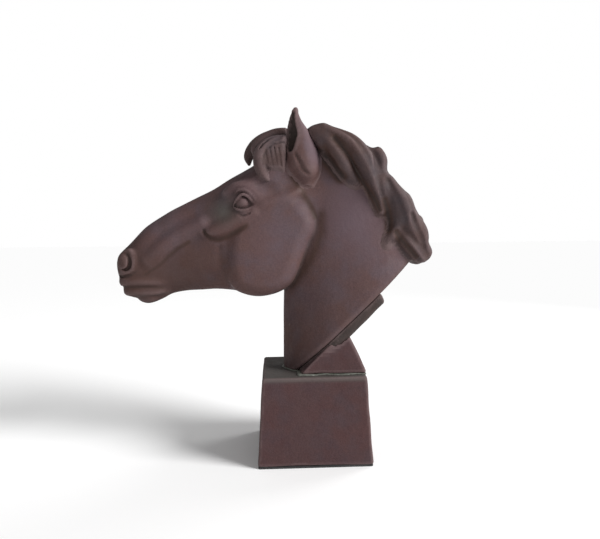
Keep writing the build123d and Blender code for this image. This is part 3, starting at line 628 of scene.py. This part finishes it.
# The mane's edge in the side view, and the smaller plate that its locks lie on.
MANE_OUTLINE = [
    (-18, 512), (-14, 527), (-4, 534), (8, 538), (22, 541), (36, 535), (52, 530), (69, 524), (82, 516),
    (93, 507), (99, 502), (107, 507), (116, 502), (125, 491), (128, 478), (127, 462), (135, 453),
    (143, 443), (153, 433), (162, 425), (168, 414), (173, 402), (183, 391), (190, 381), (196, 369),
    (195, 353), (194, 346), (200, 335), (202, 327), (198, 318), (186, 310), (172, 306), (150, 300),
    (100, 330), (62, 400), (50, 436), (32, 456), (14, 478), (0, 498),
]
MANE = [
    (-16, 520), (-8, 531), (7, 536), (22, 539), (38, 533), (54, 527), (70, 521), (84, 513), (96, 503),
    (108, 496), (118, 484), (122, 468), (124, 454), (136, 445), (150, 430), (162, 415), (172, 398),
    (184, 384), (190, 368), (190, 350), (197, 336), (198, 324), (190, 312), (176, 306), (166, 316),
    (152, 330), (138, 346), (124, 346), (117, 352), (113, 376), (106, 394), (94, 415), (82, 432),
    (66, 438), (52, 444), (40, 454), (28, 466), (17, 482), (8, 498), (-4, 508),
]
# Locks over the mane's side: (x, out, z, radius).
MANE_LOCKS = [
    [(-6, 34, 519, 8), (6, 42, 514, 9), (14, 46, 502, 9), (19, 47, 490, 5)],
    [(4, 40, 524, 10), (20, 46, 512, 12), (33, 49, 498, 12.5), (44, 50, 482, 12), (52, 49, 467, 11),
     (61, 46, 454, 9), (70, 42, 444, 7)],
    [(12, 36, 530, 12), (34, 44, 522, 15), (54, 48, 510, 17), (70, 50, 494, 17), (83, 51, 476, 16),
     (93, 51, 456, 14), (101, 51, 436, 12), (107, 51, 414, 9), (110, 51, 396, 4)],
    [(92, 26, 492, 14), (106, 34, 487, 14), (113, 40, 472, 13), (112, 44, 456, 12), (111, 47, 440, 12),
     (114, 49, 420, 11), (118, 50, 404, 7)],
    [(112, 34, 452, 16), (128, 40, 436, 20), (140, 43, 416, 22), (149, 44, 396, 21), (158, 44, 376, 18),
     (170, 40, 356, 15)],
    [(130, 44, 402, 11), (136, 47, 386, 11), (136, 49, 372, 9), (130, 50, 360, 7), (122, 50, 352, 4),
     (118, 49, 343, 2)],
    [(150, 34, 392, 16), (166, 36, 370, 17), (178, 36, 350, 15), (186, 32, 334, 13), (188, 26, 322, 9)],
    [(140, 44, 366, 8), (150, 46, 348, 10), (162, 44, 334, 10), (174, 38, 322, 9), (184, 30, 314, 5)],
]
# Hollows between and on the locks.
MANE_GROOVES = [
    [(36, 62, 508, 3), (48, 66, 495, 6), (59, 68, 480, 7), (68, 67, 463, 6.5), (77, 65, 446, 5.5),
     (88, 62, 430, 4.5), (98, 60, 414, 3.5), (106, 58, 396, 2)],
    [(10, 51, 487, 5), (21, 51, 474, 10), (31, 51, 460, 9.5), (41, 52, 449, 6), (48, 53, 441, 2)],
    [(113, 62, 414, 3), (118, 62, 398, 6), (122, 61, 383, 6.5), (121, 60, 368, 4)],
    [(133, 59, 362, 3), (142, 59, 349, 5), (153, 57, 336, 5), (165, 51, 323, 3.5), (174, 42, 314, 2)],
    [(100, 52, 490, 2), (103, 60, 472, 5), (103, 65, 456, 5), (105, 65, 440, 4), (109, 63, 422, 2)],
    [(28, 46, 534, 1), (46, 55, 525, 3), (64, 62, 512, 3.4), (79, 67, 494, 3.4), (90, 69, 474, 3),
     (97, 68, 452, 1.5)],
    [(150, 64, 424, 1), (157, 66, 408, 2.6), (160, 67, 390, 2.6), (158, 66, 372, 1)],
    [(119, 58, 446, 2), (126, 66, 428, 4), (133, 68, 410, 4), (140, 68, 392, 4), (146, 66, 376, 2)],
    [(157, 62, 390, 1.5), (164, 62, 372, 3.4), (173, 57, 354, 3.2), (180, 50, 338, 2)],
]


# Swellings over the ends of the studs that hold the mane.
STUD_ENDS = [(121.5, 12, 451), (176.5, 12, 380.5)]


def sculpt_mane(head, ear):
    """Half of the mane, from behind the ear down to the tail end."""
    clay = Clay()
    clay.pillow(MANE, 46, 36, 0)
    for lock in MANE_LOCKS:
        clay.strand(lock, 7, count=10)
    x, y, z = clay.places()
    edge = outline_distance(ring(MANE_OUTLINE, 3), x[:, 0, :], z[0])[:, None, :]
    clay.keep(edge + 0.003 * y ** 2, 7)
    for groove in MANE_GROOVES:
        clay.strand(groove, 6, cut=True, count=8)
    # grooves of hair down its back
    for out in (3, 15, 27, 39):
        back = [(x, out + 3 * math.sin(0.06 * x + out), z, 4) for x, z in MANE_OUTLINE[8:26:2]]
        clay.strand(back, 6, cut=True, count=6)
    for place in STUD_ENDS:
        clay.ball(place, (10.5, 10, 10.5), 6)
    clay.ripple(0.3, 40, 8)
    bed(clay, head, 13, 0.8)
    clay.keep(HAIRLINE - ear.field)
    return clay


# ------------------------------------------------- cover, wedge, putty and plinth
def sculpt_cover():
    """Domed plate that closes the cut, a little smaller than the neck."""
    clay = Clay()
    clay.loft([neck_section(row)[::-1] for row in spline(NECK[:7], 4)], 0)
    clay.field = clay.field + 3.5
    x, y, z = clay.places()
    height = cut_height(x, z)
    clay.keep(height - 0.2)
    clay.keep(-height - 17.5, 15)
    # its upper end
    clay.keep(0.86 * (x - 110) + 0.5 * (z - 262), 4)
    clay.ripple(0.3, 35, 11)
    clay.keep(BUST_FOOT - z)
    return clay


def sculpt_wedge(head, cover):
    """Block that fills the angle between the cut and the plinth."""
    clay = Clay()
    clay.block([((0, 0, BUST_FOOT), (0, 0, -1)), ((0, 67, 140), (0, 1, 0.26)),
                ((84.5, 0, 140), (0.91, 0, 0.40)), ((-30, 0, 140), (-1, 0, 0)), ((0, 0, 214), (0, 0, 1))], 5)
    clay.ripple(0.35, 45, 12)
    x, y, z = clay.places()
    clay.keep(cut_height(x, z) + 1.6, 3)
    clay.keep(0.3 - head.field)
    clay.keep(0.3 - cover.field)
    return clay


def sculpt_putty(head, wedge):
    """Uneven bead of putty round the feet of the neck and the wedge."""
    clay = Clay((-60, BUST_LOW[1], BUST_LOW[2]), (96, 0, 150))
    x, y, z = clay.places()
    lift = clay.first - head.first
    part = tuple(slice(a, a + n) for a, n in zip(lift, clay.field.shape))
    foot = np.minimum(head.field[part], wedge.field[part])
    clay.field = foot - 3 - 0.8 * np.sin(x / 9) * np.cos(y / 7)
    clay.keep(-foot - 1.5, 1)
    clay.keep(z - PLINTH_TOP - 2 - 0.4 * np.sin(x / 6 + y / 8), 1.5)
    clay.keep(x - 83, 2)
    clay.keep(PLINTH_TOP - z)
    return clay


def sculpt_plinth():
    """Tapered plinth with rounded edges; its flat top meets the putty."""
    clay = Clay((-96, -96, -2), (96, 0, 144))
    slope = 8.5 / PLINTH_TOP
    clay.block([((FOOT_HALF, 0, 0), (1, 0, slope)), ((-FOOT_HALF, 0, 0), (-1, 0, slope)),
                ((0, FOOT_HALF, 0), (0, 1, slope)), ((0, 0, PLINTH_TOP + 0.3), (0, 0, 1)),
                ((0, 0, 3), (0, 0, -1))], 4)
    clay.ripple(0.3, 60, 21)
    x, y, z = clay.places()
    clay.keep(z - PLINTH_TOP)
    return clay


# ------------------------------------------------------- stains, painted shade and painted sheen
def fade(value, start, end):
    """0 before start, 1 after end, eased between them."""
    t = np.clip((value - start) / (end - start), 0, 1)
    return t * t * (3 - 2 * t)


# Painted shade along creases in the side view, rust-brown where it is faint: points (x, z), how far the
# painted shade spreads, and its strength.
HAIR_CREASES = [
    ([(16, 488), (26, 476), (36, 463), (46, 450)], 9, 2.2),
    ([(36, 509), (47, 497)], 6, 1.5),
    ([(46, 497), (59, 480), (68, 463), (77, 446), (88, 430), (98, 414), (107, 396)], 4, 1.7),
    ([(114, 411), (119, 397), (122, 382), (121, 366)], 5.5, 1.9),
    ([(132, 362), (142, 349), (153, 336), (165, 323)], 5, 1.6),
]
CREASES = [
    ([(-31, 453), (-23, 441), (-13, 425), (-1, 406), (6, 388)], 5, 1.2),
    ([(-266, 299), (-243, 314), (-229, 328), (-214, 340), (-196, 350)], 5, 1.25),
    ([(-170, 366), (-160, 355), (-149, 353), (-135, 357), (-120, 365), (-104, 374)], 4.5, 1.2),
    ([(-308, 279), (-286, 279), (-262, 279.5), (-240, 276)], 3.5, 1.3),
    ([(16, 392), (15, 365), (5, 335), (-10, 306), (-30, 280), (-52, 262)], 8, 0.9),
]


def along(x, out, z, creases):
    """Painted shade that fades to both sides of the creases, and towards the middle plane."""
    stain_and_shade = np.zeros(len(x))
    for path, width, depth in creases:
        points = np.array(path, float)
        for a, b in zip(points[:-1], points[1:]):
            t = np.clip(((x - a[0]) * (b - a)[0] + (z - a[1]) * (b - a)[1]) / ((b - a) @ (b - a)), 0, 1)
            gap = (x - a[0] - t * (b - a)[0]) ** 2 + (z - a[1] - t * (b - a)[1]) ** 2
            stain_and_shade = np.maximum(stain_and_shade, depth * np.exp(-gap / width ** 2) * fade(out, 14, 24))
    return stain_and_shade


def spot(x, z, x0, z0, size_x, size_z):
    """A soft patch in the side view, 1 in its middle."""
    return np.exp(-(((x - x0) / size_x) ** 2 + ((z - z0) / size_z) ** 2))


def hair_shade(x, out, z):
    """Painted shade in the deep hollows between the locks."""
    return along(x, out, z, HAIR_CREASES)


def far_hair_darkening(x, out, z):
    """The far lock is darker towards its curled tip."""
    return 1.7 * fade(x, -78, -98)


def head_stain_and_shade(x, out, z):
    """Warm rust on the cut's rim; the muzzle warmer and painted darker as shade; darker and warmer low on the
    neck; painted shade in the creases; bloom before the eye and on the nose.
    """
    stain_and_shade = 0.5 * fade(cut_height(x, z), 11, 2) * fade(x, -30, 0)
    # the muzzle, turned from the light, painted darker as shade and warmer
    stain_and_shade = np.maximum(stain_and_shade, 0.85 * fade(x, -110, -225) * fade(z, 400, 320))
    stain_and_shade = np.maximum(stain_and_shade, 0.4 * fade(z, 300, 190))
    # painted shade along the creases of the face and between the locks
    stain_and_shade = np.maximum(stain_and_shade, along(x, out, z, CREASES + HAIR_CREASES))
    bloom = spot(x, z, -140, 398, 20.5, 20.5) + 0.5 * spot(x, z, -235, 352, 30, 30)
    return np.clip(stain_and_shade - bloom, -1, 2)


def head_sheen(x, out, z):
    """Painted bluish sheen on the middle of the neck and of the cheek, where they catch the light."""
    return spot(x, z, 68, 392, 50, 75) + 0.35 * spot(x, z, -62, 345, 36, 42)


def across_ear(x, z):
    """Place across the ear in the side view, square to its slanting middle line."""
    return x + 0.16 * (z - 490)


def cup_shade(cup):
    """Painted shade inside the ear's hollow."""
    def stain_and_shade(x, out, z):
        at = [np.clip(np.round(v / STEP).astype(int) - f, 0, n - 1)
              for v, f, n in zip((x, -out, z), cup.first, cup.field.shape)]
        return 2 * fade(cup.field[tuple(at)], 2.2, 0.4) * fade(across_ear(x, z), -45, -33)
    return stain_and_shade


def ear_highlight(x, out, z):
    """Painted light on the back of the ear, which faces the light."""
    return 0.9 * fade(across_ear(x, z), -14, -2) * fade(z, 452, 480)


def foot_stain(x, out, z):
    """Grey-green bloom on the plinth's top and round its rim."""
    return -fade(z, 129, 137.5)


# ---------------------------------------------------------------- materials
def tone(tree, kind, **values):
    """A node with its named inputs set."""
    node = tree.nodes.new(kind)
    for name, value in values.items():
        node.inputs[name.replace("_", " ")].default_value = value
    return node


def mixed(tree, fac, first, second, blend="MIX"):
    """Colour between two colours; each may be a value or a socket."""
    node = tree.nodes.new("ShaderNodeMix")
    node.data_type = "RGBA"
    node.blend_type = blend
    sockets = [node.inputs[0], node.inputs[6], node.inputs[7]]
    for socket, value in zip(sockets, (fac, first, second)):
        if isinstance(value, bpy.types.NodeSocket):
            tree.links.new(value, socket)
        else:
            socket.default_value = value
    return node.outputs[2]


def spread(tree, value, low, high, to_low=0.0, to_high=1.0):
    """A value stretched from one range to another, without leaving it."""
    node = tree.nodes.new("ShaderNodeMapRange")
    node.inputs["From Min"].default_value = low
    node.inputs["From Max"].default_value = high
    node.inputs["To Min"].default_value = to_low
    node.inputs["To Max"].default_value = to_high
    tree.links.new(value, node.inputs["Value"])
    return node.outputs["Result"]


def attribute(tree, name):
    """A value that the mesh carries at its points."""
    node = tree.nodes.new("ShaderNodeAttribute")
    node.attribute_name = name
    return node.outputs["Fac"]


# The rust colour also serves as painted shade on the muzzle and in faint creases, the grime colour as painted
# shade in deep creases and hollows, and the pale colour as a painted sheen.
RUST_AND_SHADE = (0.046, 0.021, 0.014, 1)
BLOOM = (0.070, 0.068, 0.062, 1)
SHEEN_TINT = (0.116, 0.076, 0.090, 1)
PAINTED_SHADE = (0.027, 0.017, 0.015, 1)
WORN = (0.150, 0.100, 0.100, 1)


def iron(name, body, warm, cool):
    """Matte cast iron: three browns in blotches, stains, painted shade in creases and hollows, a painted
    sheen, rubbed ridges and sand-cast grain.
    """
    material = bpy.data.materials.new(name)
    material.use_nodes = True
    tree = material.node_tree
    links = tree.links
    shader = tree.nodes["Principled BSDF"]
    place = tree.nodes.new("ShaderNodeTexCoord").outputs["Object"]

    def noise(scale, detail, rough=0.55):
        node = tone(tree, "ShaderNodeTexNoise", Scale=scale, Detail=detail, Roughness=rough)
        links.new(place, node.inputs["Vector"])
        return node.outputs["Fac"]

    blotch = spread(tree, noise(11, 3), 0.38, 0.66)
    patch = spread(tree, noise(26, 4), 0.45, 0.68)
    speck = spread(tree, noise(420, 3, 0.7), 0.35, 0.7)
    colour = mixed(tree, blotch, body, warm)
    colour = mixed(tree, patch, colour, cool)
    fleck = mixed(tree, speck, (0.86, 0.86, 0.86, 1), (1.15, 1.14, 1.13, 1))
    colour = mixed(tree, 1.0, colour, fleck, "MULTIPLY")
    # painted sheen: lighter and bluish where the bust catches the light
    colour = mixed(tree, spread(tree, attribute(tree, "painted_sheen"), 0.0, 1.0, 0.0, 0.75), colour, SHEEN_TINT)
    stain_and_shade = attribute(tree, "stain_and_shade")
    # rust, and rust-brown painted shade on the muzzle and in faint creases
    colour = mixed(tree, spread(tree, stain_and_shade, 0.0, 1.0, 0.0, 0.8), colour, RUST_AND_SHADE)
    colour = mixed(tree, spread(tree, stain_and_shade, 0.0, -1.0, 0.0, 0.75), colour, BLOOM)
    # painted shade: dark in deep creases, between the locks and inside the ear's hollow
    colour = mixed(tree, spread(tree, stain_and_shade, 1.0, 2.0, 0.0, 0.95), colour, PAINTED_SHADE)
    wear_and_shade = attribute(tree, "wear_and_shade")
    # painted shade in the hollows; the rubbed ridges are lighter
    colour = mixed(tree, spread(tree, wear_and_shade, 0.47, 0.05, 0.0, 0.55), colour, PAINTED_SHADE)
    colour = mixed(tree, spread(tree, wear_and_shade, 0.56, 0.95, 0.0, 0.45), colour, WORN)
    links.new(colour, shader.inputs["Base Color"])
    links.new(spread(tree, noise(60, 5), 0.3, 0.7, 0.62, 0.86), shader.inputs["Roughness"])
    shader.inputs["Specular IOR Level"].default_value = 0.3
    grain = tone(tree, "ShaderNodeBump", Strength=0.35, Distance=0.0005)
    links.new(noise(900, 4, 0.7), grain.inputs["Height"])
    pits = tone(tree, "ShaderNodeBump", Strength=0.3, Distance=0.0016)
    links.new(noise(170, 4, 0.6), pits.inputs["Height"])
    links.new(grain.outputs["Normal"], pits.inputs["Normal"])
    links.new(pits.outputs["Normal"], shader.inputs["Normal"])
    return material


head_iron = iron("rusty_iron", (0.084, 0.048, 0.051, 1), (0.088, 0.046, 0.042, 1), (0.082, 0.053, 0.060, 1))
hair_iron = iron("hair_iron", (0.056, 0.034, 0.034, 1), (0.060, 0.032, 0.028, 1), (0.052, 0.037, 0.041, 1))
# The cover's iron is painted near black as the shade under the neck's cut.
shaded_cover_iron = iron("shaded_cover_iron", (0.024, 0.016, 0.014, 1), (0.030, 0.017, 0.012, 1), (0.020, 0.017, 0.015, 1))
plinth_iron = iron("plinth_iron",
                   (0.058, 0.028, 0.029, 1), (0.062, 0.027, 0.027, 1), (0.053, 0.029, 0.033, 1))


def surface(name, low, high, rough, metallic, scale, dent):
    """A procedural material of two tones with uneven polish and small dents."""
    material = bpy.data.materials.new(name)
    material.use_nodes = True
    tree = material.node_tree
    shader = tree.nodes["Principled BSDF"]
    noise = tone(tree, "ShaderNodeTexNoise", Scale=scale, Detail=5, Roughness=0.6)
    tree.links.new(tree.nodes.new("ShaderNodeTexCoord").outputs["Object"], noise.inputs["Vector"])
    value = noise.outputs["Fac"]
    tree.links.new(mixed(tree, spread(tree, value, 0.35, 0.65), low, high), shader.inputs["Base Color"])
    tree.links.new(spread(tree, value, 0.3, 0.7, rough - 0.12, rough + 0.12), shader.inputs["Roughness"])
    shader.inputs["Metallic"].default_value = metallic
    bump = tone(tree, "ShaderNodeBump", Strength=0.4, Distance=dent)
    tree.links.new(value, bump.inputs["Height"])
    tree.links.new(bump.outputs["Normal"], shader.inputs["Normal"])
    return material


putty = surface("old_putty", (0.085, 0.088, 0.074, 1), (0.150, 0.155, 0.135, 1), 0.5, 0.0, 90, 0.0012)
rubber = surface("black_rubber", (0.012, 0.012, 0.013, 1), (0.030, 0.029, 0.029, 1), 0.75, 0.0, 140, 0.0004)
steel = surface("painted_steel", (0.045, 0.034, 0.032, 1), (0.085, 0.052, 0.040, 1), 0.55, 0.2, 60, 0.0005)
zinc = surface("browned_zinc", (0.100, 0.072, 0.060, 1), (0.190, 0.165, 0.150, 1), 0.48, 0.7, 260, 0.0003)


# ------------------------------------------------------------------- pieces
def fit(piece, node, material):
    """Gives a piece its material, puts it under the root body and hides the CAD node that it stands for."""
    piece.data.materials.append(material)
    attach(piece, "root")
    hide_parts(node)


head_clay = sculpt_head()
skin = head_clay.mirrored().mesh("head_skin", head_stain_and_shade, head_sheen)
head_left, head_right = halves(skin, "head_left_skin", "head_right_skin")
fit(head_left, "head_left", head_iron)
fit(head_right, "head_right", head_iron)

ear_clay, ear_cup = sculpt_ear(head_clay)
ear_left = ear_clay.mesh("ear_left_skin", cup_shade(ear_cup), ear_highlight)
fit(ear_left, "ear_left", head_iron)
fit(flipped(ear_left, "ear_right_skin"), "ear_right", head_iron)

near_hair = sculpt_near_forelock(head_clay, ear_clay)
fit(near_hair.mesh("forelock_left_skin"), "forelock_left", hair_iron)
far_hair = sculpt_far_forelock(head_clay, ear_clay).mesh("forelock_far", far_hair_darkening)
fit(flipped(far_hair, "forelock_right_skin"), "forelock_right", hair_iron)
bpy.data.objects.remove(far_hair)
mane_clay = sculpt_mane(head_clay, ear_clay)
fit(mane_clay.mirrored().mesh("mane_skin", hair_shade), "mane", hair_iron)

cover_clay = sculpt_cover()
fit(cover_clay.mirrored().mesh("neck_cover_skin"), "neck_cover", shaded_cover_iron)
wedge_clay = sculpt_wedge(head_clay, cover_clay)
putty_clay = sculpt_putty(head_clay, wedge_clay)
fit(putty_clay.mirrored().mesh("foot_seal_skin"), "foot_seal", putty)
fit(wedge_clay.mirrored().mesh("neck_wedge_skin"), "neck_wedge", plinth_iron)
fit(sculpt_plinth().mirrored().mesh("plinth_skin", foot_stain), "plinth", plinth_iron)

# The CAD's own pieces that stay in view are fasteners, the sole and the closing plate.
plain = {"base_pad": rubber, "base_plate": steel}
for name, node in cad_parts.items():
    if not node.data.materials:
        node.data.materials.append(zinc)
    for index in range(len(node.data.materials)):
        node.data.materials[index] = plain.get(name, zinc)

# -------------------------------------------------------------- set and view
ROOM = 30                        # metres from the middle to the floor's edge
floor_mesh = bpy.data.meshes.new("floor")
corners = [(-ROOM, -ROOM, 0), (ROOM, -ROOM, 0), (ROOM, ROOM, 0), (-ROOM, ROOM, 0)]
floor_mesh.from_pydata(corners, [], [(0, 1, 2, 3)])
floor = bpy.data.objects.new("floor", floor_mesh)
bpy.context.collection.objects.link(floor)
paper = bpy.data.materials.new("floor_paper")
paper.use_nodes = True
paper_shader = paper.node_tree.nodes["Principled BSDF"]
paper_shader.inputs["Base Color"].default_value = (1, 1, 1, 1)
paper_shader.inputs["Specular IOR Level"].default_value = 0.0
floor_mesh.materials.append(paper)


def lamp(name, kind, place, energy, size):
    """A light that looks from its place at the bust; size is an angle for a sun, else metres."""
    data = bpy.data.lights.new(name, kind)
    data.energy = energy
    if kind == "SUN":
        data.angle = size
    else:
        data.shape = "DISK"
        data.size = size
    light = bpy.data.objects.new(name, data)
    light.location = place
    light.rotation_euler = (Vector((0, 0, 0.3)) - Vector(place)).to_track_quat("-Z", "Y").to_euler()
    bpy.context.collection.objects.link(light)


lamp("key", "SUN", (2.1, -1.05, 1.5), 4.3, math.radians(28))
lamp("rim", "AREA", (1.4, 0.9, 1.1), 9, 0.8)

# A pale sky lights the bust, and the camera sees plain white behind it.
world = bpy.data.worlds.new("studio")
bpy.context.scene.world = world
world.use_nodes = True
tree = world.node_tree
sky = tree.nodes["Background"]
sky.inputs["Color"].default_value = (1, 1, 1, 1)
sky.inputs["Strength"].default_value = 0.35
white = tree.nodes.new("ShaderNodeBackground")
white.inputs["Color"].default_value = (1, 1, 1, 1)
white.inputs["Strength"].default_value = 1.0
path = tree.nodes.new("ShaderNodeLightPath")
mix = tree.nodes.new("ShaderNodeMixShader")
tree.links.new(path.outputs["Is Camera Ray"], mix.inputs["Fac"])
tree.links.new(sky.outputs[0], mix.inputs[1])
tree.links.new(white.outputs[0], mix.inputs[2])
tree.links.new(mix.outputs[0], tree.nodes["World Output"].inputs["Surface"])

# The photo's camera, from the plinth's corners and the outline: metres, degrees and its lens in millimetres.
CAMERA_AIM = (-0.0176, 0, 0.3021)
CAMERA_DISTANCE = 0.9356
CAMERA_YAW, CAMERA_PITCH, CAMERA_ROLL = 2.5, 3.25, 0.65
CAMERA_LENS = 33.6
yaw, pitch, roll = (math.radians(angle) for angle in (CAMERA_YAW, CAMERA_PITCH, CAMERA_ROLL))
ahead = Vector((math.sin(yaw) * math.cos(pitch), math.cos(yaw) * math.cos(pitch), -math.sin(pitch)))
across = Vector((math.cos(yaw), -math.sin(yaw), 0))
above = across.cross(ahead)
right = math.cos(roll) * across - math.sin(roll) * above
top = math.sin(roll) * across + math.cos(roll) * above
stand = Vector(CAMERA_AIM) - ahead * CAMERA_DISTANCE
camera = bpy.data.objects.new("camera", bpy.data.cameras.new("camera"))
camera.data.lens = CAMERA_LENS
camera.data.sensor_width = 36
camera.matrix_world = Matrix((
    (right.x, top.x, -ahead.x, stand.x), (right.y, top.y, -ahead.y, stand.y),
    (right.z, top.z, -ahead.z, stand.z), (0, 0, 0, 1)))
bpy.context.collection.objects.link(camera)
bpy.context.scene.camera = camera
bpy.context.scene.view_settings.view_transform = "Standard"
